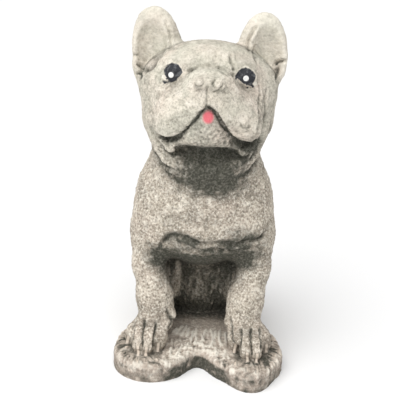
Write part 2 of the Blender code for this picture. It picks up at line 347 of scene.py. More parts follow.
# %% [markdown]
# ### Putting it together
# The head is tilted a little. It is simpler to model it upright, and to turn the points the
# other way before they are measured, than to tilt every lump. The nails are measured apart,
# because they keep a sharp seam where everything else melts.

# %% The whole head
LIP_BLEND, CHIN_BLEND, EAR_BLEND = 2.5, 5, 6
CHIN_SHIFT = 3  # the chin's left half is that much narrower


def head_space(points):
    """The same points as the head sees them, upright in its own frame."""
    pivot = np.array(HEAD_PIVOT, float)
    return (points - pivot) @ turn_matrix((0, HEAD_TILT, 0)) + pivot


def head_field(points):
    folded = one_sided(points)
    skull = melt(SKULL, folded)
    muzzle = cut(melt(MUZZLE, folded), under_mouth(folded), LIP_BLEND)
    chin = one_sided(points)
    chin[:, 0] += np.where(points[:, 0] > 0, CHIN_SHIFT, 0)
    head = join(join(skull, melt(JAW, chin), CHIN_BLEND), muzzle, LIP_BLEND)
    return join(head, ear_field(points), EAR_BLEND)


print("from y = -100 to the nose:", head_field(np.array([[0.0, -100, 297]])).round(1))

# %% The whole dog
PAW_BLEND, NECK_BLEND = 6, 10


def by_side(points, right, left):
    """Distance to the right paw's lumps or to the left's, by the side a point is on."""
    folded = one_sided(points)
    return np.where(points[:, 0] < 0, melt(right, folded), melt(left, folded))


def dog_field(points):
    """Distance to the dog's skin without the nails, in modules."""
    paws = by_side(points, WRISTS["right"] + RIGHT_TOES, WRISTS["left"] + LEFT_TOES)
    body = join(melt(TRUNK, one_sided(points)), paws, PAW_BLEND)
    return join(body, head_field(head_space(points)), NECK_BLEND)


def nail_field(points):
    return by_side(points, RIGHT_NAILS, LEFT_NAILS)


print("middle of the chest to its skin:", dog_field(np.array([[0.0, 0, 140]])).round())

# %% [markdown]
# ## Base
# The base is a flat cushion: two lobes under the forepaws with a bite between them, the one
# under the dog's left paw drawn out further, and a plain round back. Its outline is a
# distance in plan, and a rounded upper edge makes it a slab.

# %% Base
def base_outline(points):
    """Distance in plan to the base's edge."""
    x, y = points[:, 0], points[:, 1]
    behind = y - LOBE_Y
    behind = np.where(behind > 0, behind * LOBE_TAPER, behind)
    lobe = np.hypot(np.hypot(x, NOTCH_SOFTNESS) - LOBE_X, behind) - LOBE_RADIUS
    tip = np.hypot(x - TIP_X, y - TIP_Y) - TIP_RADIUS
    lobe = join(lobe, tip, TIP_ROUNDING)
    back = DEPTH / 2
    across = np.abs(x) - WAIST_HALF_WIDTH + LOBE_RADIUS
    along = np.abs(y - (NOTCH_Y + back) / 2) - (back - NOTCH_Y) / 2 + LOBE_RADIUS
    slab = np.hypot(np.maximum(across, 0), np.maximum(along, 0))
    slab = slab + np.minimum(np.maximum(across, along), 0) - LOBE_RADIUS
    return join(lobe, slab, NOTCH_ROUNDING)


def base_field(points):
    """Distance to the base, in metres, with its top edge rounded off."""
    outline = base_outline(points) + BASE_EDGE
    top = points[:, 2] - BASE_THICKNESS + BASE_EDGE
    edge = np.hypot(np.maximum(outline, 0), np.maximum(top, 0))
    shape = edge + np.minimum(np.maximum(outline, top), 0) - BASE_EDGE
    return np.maximum(shape, -points[:, 2] - BASE_THICKNESS)


def statue_field(points):
    places = (points - DOG_ORIGIN) / MODULE
    stone = join(dog_field(places) * MODULE, base_field(points), FOOT_FILLET)
    return join(stone, nail_field(places) * MODULE, NAIL_SEAM)


print("middle of the base to its edge, m:", base_outline(np.zeros((1, 3))).round(3))

# %% [markdown]
# ## From lumps to one skin
# Every lump becomes a closed mesh, the Remesh modifier wraps one skin of even squares round
# all of them, and the skin is then moved onto the melted surface, a few steps along its
# slope. It is done coarse first and then fine, because a fine skin can't move far without
# folding over itself.

# %% Rough clay
def rough_clay():
    """All the lumps as overlapping closed shells in one mesh."""
    left = Matrix.Translation(DOG_ORIGIN) @ Matrix.Scale(MODULE, 4)
    right = left @ Matrix.Scale(-1, 4, (1, 0, 0))
    block = bmesh.new()
    size = Matrix.Diagonal((2 * WAIST_HALF_WIDTH, DEPTH / 2 - NOTCH_Y, 2 * BASE_THICKNESS, 1))
    middle = Matrix.Translation((0, (DEPTH / 2 + NOTCH_Y) / 2, 0))
    bmesh.ops.create_cube(block, size=1, matrix=middle @ size)
    shells = [block]
    lobes = [(side * LOBE_X, LOBE_Y, LOBE_RADIUS) for side in (-1, 1)]
    for x, y, radius in (*lobes, (TIP_X, TIP_Y, TIP_RADIUS)):
        disc = bmesh.new()
        bmesh.ops.create_cone(
            disc, cap_ends=True, segments=32, radius1=radius, radius2=radius,
            depth=2 * BASE_THICKNESS, matrix=Matrix.Translation((x, y, 0)),
        )
        shells.append(disc)
    for lump in TRUNK + SKULL + MUZZLE + JAW + EARS:
        shells += [lump.shell(left), lump.shell(right)]
    shells += [lump.shell(left) for lump in WRISTS["left"] + LEFT_TOES]
    shells += [lump.shell(right) for lump in WRISTS["right"] + RIGHT_TOES]
    mesh = bpy.data.meshes.new("rough_clay")
    clay = bmesh.new()
    for shell in shells:
        shell.to_mesh(mesh)
        shell.free()
        clay.from_mesh(mesh)
    bmesh.ops.recalc_face_normals(clay, faces=clay.faces)
    clay.to_mesh(mesh)
    clay.free()
    print(len(shells), "shells of rough clay")
    return mesh


# %% Modifiers and moving the skin
def put(name, data):
    """A new object in the scene."""
    made = bpy.data.objects.new(name, data)
    bpy.context.scene.collection.objects.link(made)
    return made


def reskin(mesh, modifier, **settings):
    """A copy of the mesh with one modifier applied."""
    worker = put("worker", mesh)
    step = worker.modifiers.new(modifier.title(), modifier)
    for name, value in settings.items():
        setattr(step, name, value)
    graph = bpy.context.evaluated_depsgraph_get()
    result = bpy.data.meshes.new_from_object(worker.evaluated_get(graph))
    bpy.data.objects.remove(worker)
    return result


def coordinates(mesh):
    points = np.empty(len(mesh.vertices) * 3)
    mesh.vertices.foreach_get("co", points)
    return points.reshape(-1, 3)


def slope_at(points, field, reach=0.0003):
    """How fast the distance grows along each axis."""
    slope = np.empty_like(points)
    for axis, step in enumerate(np.eye(3) * reach):
        slope[:, axis] = (statue_field(points + step) - field) / reach
    return slope


def settle(mesh, rounds, longest):
    """Moves every vertex onto the statue's skin, by steps along its slope."""
    points = coordinates(mesh)
    for _ in range(rounds):
        field = statue_field(points)
        slope = slope_at(points, field)
        steep = np.maximum(lengths(slope) ** 2, 0.2)
        points -= slope * (np.clip(field, -longest, longest) / steep)[:, None]
    mesh.vertices.foreach_set("co", points.ravel())
    mesh.update()


spot = np.array([[0.0, 0, 0.5]])
print("slope over the head:", slope_at(spot, statue_field(spot)).round(2))

# %% The skin
FINE_VOXEL = 0.00128
skin = rough_clay()
for voxel, rounds in ((0.0040, 3), (0.0024, 2), (FINE_VOXEL, 2)):
    skin = reskin(skin, "REMESH", mode="VOXEL", voxel_size=voxel)
    settle(skin, rounds, voxel)
skin = reskin(skin, "SMOOTH", factor=0.4, iterations=1)
settle(skin, 1, FINE_VOXEL / 3)
print("skin of", len(skin.vertices), "vertices")

# %% [markdown]
# ## Wrinkles
# A wrinkle is a groove with flesh that swells beside it, and the groove is painted darker:
# dirt and painted shade. Each one is a smooth line with a width, a depth and that darkening.
# A negative depth makes a ridge, and a negative darkening paints it pale, a painted highlight.
# No fold on a hand-modelled dog mirrors another.

# %% A line that presses or raises the skin
@dataclass
class Crease:
    """A groove along a line of (x, z) as seen from the front, or of (x, y) from above."""

    line: tuple
    width: float
    depth: float
    # How much the groove is painted darker, dirt and painted shade; a negative value paints the
    # ridge paler, a painted highlight.
    dirt_and_painted_light: float = 0.3
    puff: float = 0.35
    limit: float = -14  # nothing further back than this y is touched
    above: bool = False


def creases(*rows):
    return [Crease(*row) for row in rows]


def smooth_line(line, steps=10):
    """Close points on a soft curve through the given ones."""
    points = np.array(line, float)
    points = np.vstack([2 * points[0] - points[1], points, 2 * points[-1] - points[-2]])
    share = np.arange(steps)[:, None] / steps
    curve = []
    for a, b, c, d in zip(points, points[1:], points[2:], points[3:]):
        bend = (2 * a - 5 * b + 4 * c - d) * share**2 + (3 * b - a - 3 * c + d) * share**3
        curve.append(0.5 * (2 * b + (c - a) * share + bend))
    return np.vstack([*curve, points[-2:-1]])


SWELL_AT = 2.1  # widths from the line, where the flesh beside it stands highest
FADE = 0.15  # share of a line over which each end runs out


def groove_of(crease, flat):
    """The share of the groove and of the swelling beside it at each of the flat points."""
    curve = smooth_line(crease.line)
    best = np.full(len(flat), np.inf)
    where = np.zeros(len(flat))
    for index, spot in enumerate(curve):
        away = np.hypot(flat[:, 0] - spot[0], flat[:, 1] - spot[1])
        closer = away < best
        best[closer] = away[closer]
        where[closer] = index / (len(curve) - 1)
    fade = np.clip(np.minimum(where, 1 - where) / FADE, 0, 1) ** 0.7
    share = best / (crease.width * (0.6 + 0.4 * fade))
    strength = 0.3 + 0.7 * fade
    return strength * np.exp(-share**2), strength * np.exp(-((share - SWELL_AT) ** 2))


three = np.array([[5.0, 0], [5, 1], [5, 2]])
print("groove at 0, 1 and 2 widths:", groove_of(Crease(((0, 0), (10, 0)), 1, 1), three)[0].round(2))

# %% [markdown]
# ### The face
# The nose sits in a saddle of skin. Under it a groove parts the flews, the two cushions of
# the upper lip, and the cheeks are folded upright beside them. A nostril is a groove too: at
# this size a deep, dark line reads as a hole. The folds of the throat hang below the chin.

# %% Lines of the face
# The grooves of the face are painted darker, dirt and painted shade; the raised brows, rims of the
# lips and the knob on the flew are painted paler, a painted highlight.
FACE = creases(
    (((-1.9, 296), (-1.4, 288), (-1.8, 279), (-1.4, 275)), 1.0, 1.5, 0.4),  # nose to mouth
    (((-22, 301), (-19, 304.5), (-15.7, 306.3), (-10.5, 308.1)), 1.1, 1.6, 0.5, 0.6),
    (((-12, 308), (-2.5, 309.4), (5, 308.8), (10, 307.5)), 1.2, 1.0, 0.22, 0.6),
    (((8, 309.5), (12.9, 305.9), (17.7, 303.3), (23, 302), (26, 298.5)), 1.2, 1.6, 0.45, 0.6),
    (((25, 298), (31, 292), (38, 287.5)), 1.4, 1.2, 0.28, 0.6),
    (((-24, 297), (-27, 291), (-34, 286), (-40, 285)), 2.2, 0.9, 0.08, 0.5),
    # between the brows
    (((20.5, 322), (20.6, 315), (23.7, 310.6), (23.5, 305)), 1.4, 1.8, 0.55, 0.6),
    (((6.8, 329), (6.6, 321), (4, 313)), 1.6, 1.0, 0.2),
    (((-11, 326), (-12.5, 318), (-11, 311)), 2.0, 0.8, 0.1),
    (((-3, 328), (-2, 318), (-2, 311)), 2.2, -0.8, 0, 0),
    (((25, 312), (32, 314), (42, 311), (51, 304)), 2.4, -1.3, -0.15, 0.2),  # brows
    (((-24, 309), (-31, 314), (-41, 314), (-50, 307)), 2.4, -1.3, -0.15, 0.2),
    (((-55, 298), (-50, 299), (-47.2, 302.5), (-44.9, 306.3), (-41, 309)), 1.0, 1.0, 0.3),
    (((50.4, 292), (51.6, 283), (50.4, 272), (51.6, 262), (50.4, 250), (48.6, 241)),
     1.0, 1.3, 0.4, 0.6, -6),
    # left cheek
    (((54.4, 290), (55.4, 276), (53.6, 263), (52.6, 250)), 0.9, 1.1, 0.3, 0.6, 0),
    (((59.3, 288), (57.4, 277), (58.4, 265), (55.4, 252), (53.5, 240)), 1.2, 1.5, 0.5, 0.6, 2),
    (((-61.5, 255), (-57.6, 261), (-53.5, 255), (-56, 250)), 1.1, 1.5, 0.4, 0.5, -6),
    (((-60, 248), (-56, 240), (-52.3, 232)), 1.8, 1.2, 0.25, 0.5, 0),
    (((36, 262.5), (40, 260.5)), 3.2, -1.8, -0.1, 0),  # knob on the left flew
    (((32.5, 259.5), (34.5, 255.5), (39, 254), (43.3, 257.5)), 1.2, 1.5, 0.5, 0.3),
    # rims of the lips
    (((-51, 250), (-45.5, 245), (-38.8, 243.5), (-30, 246)), 1.5, -1.0, -0.2, 0),
    (((48, 248), (40, 246.5), (31, 247), (24, 250)), 1.5, -1.0, -0.2, 0),
    (((-44, 262), (-36, 256), (-27, 255)), 2.2, 0.7, 0.08, 0.5),
    (((-30, 279), (-20, 270), (-12, 262)), 2.2, 0.6, 0.08, 0.5),
    (((18, 276), (24, 268), (30, 262)), 2.0, 0.7, 0.1, 0.5),
    (((22, 284), (33, 280), (43, 282)), 1.8, 0.7, 0.1, 0.5),
    (((26, 252), (34, 250), (44, 252)), 1.4, 0.8, 0.2, 0.5),
)
MOUTH = creases(
    (((-1.5, 275.5), (-5, 271), (-8.5, 265), (-12.5, 259.5), (-17.5, 253.5),
     (-23, 247), (-29, 242)), 0.8, 1.0, 0.7, 0.2),
    (((-1.5, 275.5), (4.5, 271), (9.5, 264), (14, 256.5), (19, 249.5), (25, 244.5),
     (31, 242)), 0.8, 1.0, 0.7, 0.2),
    (((-48, 239), (-40, 236.5), (-30, 239), (-24, 243)), 2.6, 1.2, 0.6, 0.1),
)
print(len(FACE), "lines on the face and", len(MOUTH), "along the mouth")

# %% The nose
NOSE = creases(
    (((-11, 299.5), (-9, 298.5)), 2.6, -1.1, -0.1, 0),  # wings of the nostrils
    (((8, 298.5), (10.5, 297)), 3.2, -1.2, -0.1, 0),
    (((-7.2, 302), (-5.4, 299.3), (-7.2, 296.3), (-11, 294.7), (-14.2, 296)), 0.9, 1.4, 0.5, 0.3),
    (((7, 302.3), (4.2, 300.3), (3.6, 297.5), (5, 294.5)), 1.1, 2.0, 0.7, 0.3),
    (((14.4, 300), (13.4, 296.9), (10.5, 294.1), (7.4, 290.9), (2.9, 288.9)), 1.1, 1.6, 0.5, 0.3),
)
print(len(NOSE), "lines on the nose")

# %% Chin and throat
# The ridge of the chin and the knob at its corner are painted paler, a painted highlight, and the
# folds of the throat darker, dirt and painted shade.
CHIN = creases(
    (((-34, 229), (-27, 235), (-21, 237.5), (-12, 238.5), (-2, 238), (11, 236.5),
     (20, 233), (30, 230)), 2.2, -1.6, -0.15, 0),
    (((-38.5, 225.5), (-33, 225.5)), 2.6, -3.0, -0.4, 0),
    (((-22.5, 236), (-17, 247), (-12, 256)), 1.6, -0.9, -0.2, 0),
    (((22, 236), (17, 246), (9, 259)), 1.6, -0.9, -0.1, 0),
    (((-4, 224), (-2.5, 216), (-2, 207)), 2.6, 1.6, 0.15, 0.5),  # folds of the throat
    (((-24, 220), (-19, 210), (-16, 196)), 3.2, 1.6, 0.2, 0.5),
    (((24, 220), (18.5, 210), (12.5, 200), (11.5, 193)), 3.2, 1.6, 0.2, 0.5),
    (((-52, 231), (-45, 225), (-36, 218)), 1.7, 2.2, 0.6, 0.6, 0),
    (((-58, 222), (-50, 209), (-41, 203), (-32, 202)), 2.0, 2.6, 0.7, 0.6, 4),
    (((-53, 214), (-44, 200), (-31, 190), (-16, 186), (2, 184), (24, 188), (41, 200)),
     3.4, 1.6, 0.45, 0.3, 4),
    (((49, 240), (48.4, 234), (45.5, 222), (39, 209)), 1.7, 2.4, 0.7, 0.6, 0),
    (((53.5, 238), (50, 220), (43, 209)), 1.7, 2.2, 0.6, 0.6, 4),
    (((67, 254), (65, 234), (58, 217), (48, 201), (37, 193)), 2.2, 1.8, 0.5, 0.5, 6),
)
print(len(CHIN), "lines on the chin and the throat")

# %% [markdown]
# ### The eyes
# The painted eyes aren't round: the lower edge runs slantwise to the nose, and the brush
# slipped at the outer corners. Each is a closed line, with a low lid raised along it.

# %% Eyes
RIGHT_EYE = (
    (-44.8, 301), (-44, 305), (-41.1, 308.2), (-37, 309.5), (-32.4, 309), (-28.4, 306.3),
    (-26, 302.2), (-28.4, 299), (-30.6, 297.4), (-32.8, 294.7), (-36.9, 293.2), (-40, 294.9),
    (-42.8, 297.4), (-44.8, 301),
)
LEFT_EYE = (
    (25.2, 298.4), (27.2, 303.3), (30.1, 306.6), (34.7, 308.3), (39.9, 307), (43.8, 304.3),
    (45.8, 300.6), (44.9, 296.9), (43.2, 294), (45.3, 291.2), (43.9, 289.3), (41.1, 291.4),
    (36.9, 293), (32.7, 294.8), (29.6, 296.8), (25.2, 298.4),
)
SMEAR = (
    (-47.2, 292.6), (-45.8, 288.9), (-42, 290.6), (-37.4, 291.8), (-31.5, 295), (-38, 294),
    (-43, 292.6), (-47.2, 292.6),
)
# The rims of the lids are raised and painted paler, a painted highlight.
LIDS = [Crease(eye, 1.2, -1.1, -0.35, 0) for eye in (RIGHT_EYE, LEFT_EYE)]


def brush_distance(line, flat):
    """Distance to a closed brush mark seen from the front, negative inside it."""
    curve = smooth_line(line)
    best = np.full(len(flat), np.inf)
    inside = np.zeros(len(flat), bool)
    x, z = flat.T
    for (x1, z1), (x2, z2) in zip(curve, curve[1:]):
        best = np.minimum(best, np.hypot(x - x1, z - z1))
        if z1 != z2:
            crosses = (z1 > z) != (z2 > z)
            inside ^= crosses & (x < x1 + (z - z1) * (x2 - x1) / (z2 - z1))
    return np.where(inside, -best, best)


print("inside an eye, to its edge:", brush_distance(RIGHT_EYE, np.array([[-36, 302]])).round(1))

# %% [markdown]
# ### Chest, legs and ears
# The skin of the chest hangs in one broad fold over the forelegs, painted dark in its groove:
# dirt and painted shade. On the paws, grooves painted dark with shade run between the bones
# down to the toes.

# %% Lines of the body and the ears
BODY = creases(
    (((-47, 111), (-41, 122), (-33, 129.5), (-21, 130), (-11, 127), (-3, 123),
     (12, 125)), 2.4, 3.4, 0.55, 0.7),
    (((12, 125), (24, 124), (36, 121.5), (48, 125), (61, 126.5), (70, 134)), 2.4, 2.8, 0.5, 0.7),
    (((-38, 122), (-30, 125), (-18, 124), (-6, 118)), 1.8, 1.6, 0.35, 0.5),
    (((8, 119), (20, 117), (32, 114), (48, 117)), 1.8, 1.6, 0.35, 0.5),
    (((-36, 104), (-22, 98), (0, 96.5), (25, 97), (45, 102)), 3.0, 1.2, 0.5, 0),
    (((-30, 121), (-14, 118), (4, 116), (26, 116)), 2.4, 1.0, 0.15, 0.5),
    (((-62, 120), (-50, 104), (-46, 90)), 2.6, 1.2, 0.25, 0.4),
    (((56, 114), (52, 100), (46, 88)), 2.6, 1.2, 0.25, 0.4),
    (((-70, 36), (-62, 31), (-48, 30), (-38, 32)), 2.4, 0.8, 0.15, 0.5, -30),
    (((-36, 44), (-34, 36), (-30, 28), (-34, 22)), 1.6, 1.8, 0.6, 0.4, -30),
    (((36, 26), (48, 27), (60, 26), (72, 24)), 2.4, 0.8, 0.15, 0.5, -30),
    (((34, 36), (36, 26), (37, 17), (40, 12)), 1.4, 2.0, 0.7, 0.3, -30),
)
EAR_LINES = creases(
    (((-48, 347), (-43, 338), (-40.5, 327), (-42, 320)), 1.5, 1.6, 0.4, 0.5, 8),
    (((-53, 310), (-58, 302.5), (-66, 297), (-71, 298), (-78, 303)), 1.8, 2.2, 0.6, 0.6, 8),
    (((-46, 322), (-50, 314), (-58, 309)), 2.0, 1.0, 0.25, 0.5, 8),
    (((-82, 311), (-77.5, 311), (-74, 310)), 1.3, 1.6, 0.7, 0.3, 8),
    (((-79, 292), (-74, 291.5), (-70, 292), (-72, 286)), 1.3, 1.8, 0.8, 0.3, 8),
    (((48, 345), (42, 336), (39, 329), (39.3, 324), (41.5, 320)), 1.5, 2.4, 0.7, 0.5, 8),
    (((48, 326), (45, 321), (45, 318), (49, 310)), 1.5, 1.6, 0.5, 0.5, 8),
    (((70, 304), (72, 308), (76.7, 310.7), (81, 312)), 1.6, 2.6, 0.9, 0.5, 8),
    (((73, 303), (71, 298), (70, 291)), 1.6, 2.2, 0.8, 0.5, 8),
    (((80.5, 322), (79, 307), (76.5, 293), (71, 286)), 1.5, -1.2, -0.3, 0, 8),
)
TOE_GAPS = [
    ((-69.5, 32), (-71, 22), (-72.5, 8)), ((-59.5, 34), (-60.5, 20), (-61, 5)),
    ((-47, 31), (-48, 18), (-49.5, 4)), ((46, 28), (45, 18), (44.5, 5)),
    ((56, 30), (56.3, 18), (57, 4)), ((66, 30), (67.5, 20), (69.5, 8)),
]
PAWS = [Crease(gap, 1.2, 3.4, 1.0, 0.25, -42) for gap in TOE_GAPS]
print(len(BODY) + len(EAR_LINES) + len(PAWS), "lines on body, ears and paws")

# %% [markdown]
# ## Strokes on the base
# Between the paws the sculptor dragged a tool through the wet base and left raised blades,
# like tufts of grass. They are lines from above, with a negative depth, and are painted pale:
# a painted highlight on their crests.

# %% Blades between the paws
BLADES = [
    ((-31, -28), (-24, -15)), ((-26, -30), (-19, -8)), ((-20, -36), (-14, -7)),
    ((-14, -38), (-11, -13)), ((-8, -46), (-6.5, -20)), ((-3.5, -50), (-3, -12)),
    ((6, -62), (4, -43), (9, -12)), ((13, -64), (16.5, -37), (13, -14)),
    ((19, -40), (19.5, -18)), ((24.5, -57), (24, -36), (25, -13)),
    ((31, -46), (31.5, -20)), ((-30, -84), (-30, -60)), ((-24, -80), (-18, -58)),
    ((-15, -66), (-11, -50)), ((20, -80), (19, -56)), ((27, -84), (30, -62)),
]
STROKES = [Crease(blade, 1.3, -3.0, -1.6, 0, 0, True) for blade in BLADES]
print(len(STROKES), "blades between the paws")

# %% [markdown]
# ## Pressing the lines in
# Every vertex gets a lift in modules and a darkening of dirt and painted shade, paler with a
# painted highlight where it is negative, which lines and grain add to, and is moved once, at
# the end. A line works only where the skin faces its view. Soft noise shakes the points
# first, because a hand never draws a clean line.

# %% Noise and soft limits
def grain(spots, size, seed):
    """Soft random lumps of a size in modules, from -1 to 1."""
    shift = Vector((seed, 2 * seed, 3 * seed))
    return np.array([noise.noise(Vector(spot) / size + shift) for spot in spots.tolist()])


def rise(values, start, end):
    """0 before start, 1 beyond end, and an even slope between them."""
    return np.clip((values - start) / (end - start), 0, 1)


def hump(values, middle, width):
    """1 in the middle, and softly down to 0 on both sides."""
    return np.exp(-(((values - middle) / width) ** 2))


print("a rise from 2 to 6, seen at 3 and 5:", rise(np.array([3, 5]), 2, 6))

# %% Apply the lines
SHAKE, SHAKE_SIZE = 0.9, 6.5
BASE_LINES_BELOW = 40
metres = coordinates(skin)
points = (metres - DOG_ORIGIN) / MODULE
x, y, height = points.T
from_middle = np.abs(x)
slopes = slope_at(metres, statue_field(metres))
normals = slopes / np.maximum(lengths(slopes), 1e-6)[:, None]
lift = np.zeros(len(points))
dirt_and_painted_light = np.zeros(len(points))
wobble = SHAKE * np.stack([grain(points, SHAKE_SIZE, seed) for seed in (7.0, 8.0)], 1)
from_front = rise(-normals[:, 1], 0.02, 0.32)
from_above = rise(normals[:, 2], 0.1, 0.4)
for crease in FACE + MOUTH + NOSE + LIDS + CHIN + BODY + EAR_LINES + PAWS + STROKES:
    columns, facing = ((0, 1), from_above) if crease.above else ((0, 2), from_front)
    line = np.array(crease.line)
    reach = 4 * crease.width
    flat = points[:, columns]
    near = (facing > 0) & (y < crease.limit)
    near &= (flat > line.min(0) - reach).all(1) & (flat < line.max(0) + reach).all(1)
    if crease.above:
        near &= height < BASE_LINES_BELOW
    groove, swell = groove_of(crease, flat[near] + wobble[near])
    lift[near] += crease.depth * (crease.puff * swell - groove) * facing[near]
    # The groove is painted darker, dirt and painted shade, or a ridge paler, a painted highlight.
    dirt_and_painted_light[near] += crease.dirt_and_painted_light * groove * facing[near]
print("lines press up to", round(-lift.min(), 1), "and raise up to", round(lift.max(), 1))

# %% [markdown]
# ## Grain
# Cast stone is sandy, and coarser where the mould was worn, and even noise makes that. Noise
# that is stretched along one direction makes strokes: short tufts that lean out over the
# rims of the lobes, upright runs in the gap behind the forelegs, and drags between the paws.

# %% Tufts
TUFT_HEIGHT = 4.0
FAN_X, FAN_RADIUS = 52, 41


def tufts(points):
    """Random strokes that lean out over the lobes' rims, and the distance to the rim."""
    out = base_outline(points * MODULE + DOG_ORIGIN) / MODULE
    turn = np.arctan2(points[:, 1] - PAW_Y, np.abs(points[:, 0]) - FAN_X) * FAN_RADIUS
    spots = np.stack([turn * 1.1 + out * 0.7, out * 0.45, np.sign(points[:, 0]) * 9], 1)
    return grain(spots, 3.6, 5.0), out


on_base = rise(height, 1.5, 0)
stroke, out = tufts(points)
rim = hump(out, -7, 8) * on_base * (y < 0)
tuft = np.clip(stroke + 0.05, 0, 1) * rim * np.clip(normals[:, 2] + 0.3, 0, 1)
lift += TUFT_HEIGHT * tuft
in_notch = rise(from_middle, 36, 28) * (y < -56)
on_top = rise(height - 8 * in_notch, -13, -7)
# Painted shade between the tufts, and a painted highlight on them.
between_tufts = rim * 1.7 * np.clip(-stroke - 0.03, 0, 0.5)
dirt_and_painted_light += (between_tufts - 1.5 * np.minimum(tuft, 0.25)) * on_top
print("the rims' tufts raise up to", round(float(TUFT_HEIGHT * tuft.max()), 1))

# %% Grain
rough = np.where(height > 225, 0.55, 1.0)
rough[(from_middle < 24) & (height > 232) & (height < 256) & (y < -40)] = 1.3
between_paws = (on_base > 0.5) & (from_middle < 38) & (y < 10)
rough[between_paws] = 0.35
rough[(height < 36) & (y < -44)] = 0.6
to_nail = nail_field(points)
rough *= rise(to_nail, 0, 2)
coarse = grain(points, 6.0, 1.0)
fine = grain(points, 2.8, 2.0)
lift += (coarse * 0.55 + fine * 0.9) * rough
print("grain, mean roughness:", round(float(rough.mean()), 2))

# %% Runs and drags
streak = grain(points * (1, 1, 0.12), 3.0, 4.0)
in_gap = (from_middle < 36) & (y > -2) & (y < 40) & (height > 2) & (height < 96)
lift += streak * 2.2 * in_gap
# The gap is painted darker, painted shade, with paler runs through it.
dirt_and_painted_light += np.where(in_gap, 0.45 - 0.5 * np.clip(streak, 0, 1), 0)
drag = grain(points * (1, 0.22, 0), 2.4, 6.0) * on_base * on_top
drag *= rise(y, -18, -30) * rise(from_middle, 40, 32)
lift += 1.6 * drag
# The drags are painted paler where they stand up and darker between them: painted highlight and
# shade.
dirt_and_painted_light -= 1.1 * drag + 0.1 * (drag != 0)
print(int(in_gap.sum()), "vertices with runs and", int((drag != 0).sum()), "with drags")

# %% [markdown]
# ## Dirt and painted shade
# The hollows are painted darker: painted shade, and the dirt of a casting that has stood
# outdoors. The distance field knows them: a little above flat skin the distance is the step
# that was taken, and in a hollow it is less. Other painted shade and stains have only a place:
# soft ovals and bands that the grain breaks up. A few places are painted paler instead, a
# painted highlight.

# %% Hollows, painted darker
dirt_and_shade_map = np.zeros(len(points))
# Painted shade: the deeper in a hollow, the darker the colour.
for step, share in ((0.003, 0.15), (0.008, 0.20), (0.020, 0.30), (0.045, 0.35)):
    above = statue_field(metres + normals * step)
    dirt_and_shade_map += share * np.clip(1 - above / step, 0, 1)
# A dark ring of painted shade round each nail, and the nail itself paler.
dirt_and_shade_map += 0.25 * hump(to_nail, 1.8, 0.9) * (height > 1.5)
dirt_and_shade_map -= 1.3 * hump(np.maximum(to_nail, 0), 0, 0.8) * (height > 1.5)
# The ears are painted paler instead, the dog's left one more, which the lamps leave darker: painted
# light.
ears = rise(ear_field(head_space(points)), 3, 0) * rise(height, 272, 298)
pale_ears = 0.2 * dirt_and_shade_map - np.where(x > 0, 0.3, 0.22)
dirt_and_shade_map = ears * pale_ears + (1 - ears) * np.clip(dirt_and_shade_map, 0, 0.9)
# The throat keeps half its painted shade, with streaks through it.
throat = (from_middle < 48) & (height > 190) & (height < 232) & (y < -10)
dirt_and_shade_map = np.where(throat, 0.5 * dirt_and_shade_map + 0.35 * streak, dirt_and_shade_map)
dirt_and_shade_map[between_paws] *= 0.15
dirt_and_shade_map[(height > 0.7) & (height < 20) & (y < -42)] *= 0.25
print("hollow share, mean:", round(float(dirt_and_shade_map.mean()), 3))

# %% Painted shade and stains
# Where the front is painted darker, painted shade under the chin, at the forelegs, under the
# folds of the chest and on the dog's left cheek, with some dirt: x, z, half width, half height
# and strength
DIRT_AND_SHADE_PATCHES = [
    (4, 214, 42, 20, 0.62), (6, 194, 36, 17, 0.75), (18, 186, 20, 12, 0.50),
    (-45, 98, 16, 16, 0.55), (48, 103, 20, 15, 0.5), (4, 96, 48, 10, 0.65),
    (6, 112, 56, 10, 0.45), (-24, 127, 22, 6, 0.4), (46, 126, 22, 8, 0.45),
    (-38, 236, 14, 5, 0.3), (40, 234, 16, 7, 0.5), (0, 244, 27, 12, 0.18),
    (46, 229, 8, 7, 0.6), (64, 246, 14, 34, 0.2), (4, 228, 26, 5, 0.3), (30, 214, 14, 12, 0.2),
    (-12, 150, 34, 9, 0.25), (44, 136, 20, 6, 0.3), (0, 176, 60, 8, 0.15),
    (18, 119, 38, 11, 0.35),
]
facing_down = np.clip(-normals[:, 2], 0, 1)
# Painted shade under what faces down, under the folds of the chest above the gap behind the
# forelegs.
dirt_and_shade_map += 0.6 * facing_down * (height > 60) * (height < 108) * (y < 0)
# The lower sides of the base are painted darker, a painted shade, and the wall of the notch darker
# still, painted shade with some dirt.
dirt_and_shade_map += 0.30 * rise(height, -3.5, -6.5) * (1 + 1.5 * coarse) + 0.25 * rise(height, -14, -18)
dirt_and_shade_map += 0.5 * rise(height, -3, -7) * in_notch * (1 + 0.8 * coarse)
# A painted highlight: a pale strip down the gap behind the dog's right foreleg.
painted_lit_strip = np.hypot((x + 27) / 4.5, (height - 50) / 30)
dirt_and_shade_map -= 0.75 * np.exp(-(painted_lit_strip**4)) * in_gap
broken = 1 + np.where(height > 180, 0.4, 0.9) * coarse
# Each patch is painted darker, broken up by the grain.
for at_x, at_z, half_width, half_height, strength in DIRT_AND_SHADE_PATCHES:
    away = ((x - at_x) / half_width) ** 2 + ((height - at_z) / half_height) ** 2
    dirt_and_shade_map += strength * broken * from_front * (y < 0) * np.exp(-(away**1.2))
speckle = np.where(rough > 1.05, 0.6, 0.22)
dirt_and_shade_map += dirt_and_painted_light * (1 + 0.5 * coarse) - speckle * np.clip(fine, -1, 1)
dirt_and_shade_map = np.clip(dirt_and_shade_map, -0.7, 1.3)
print("dirt, mean share:", round(float(dirt_and_shade_map.mean()), 3))

# %% [markdown]
# ## Where the eyes are painted
# The outline of an eye has too many turns for nodes. The distance to it is measured at the
# vertices instead and kept as an attribute, and the material paints where it is negative.

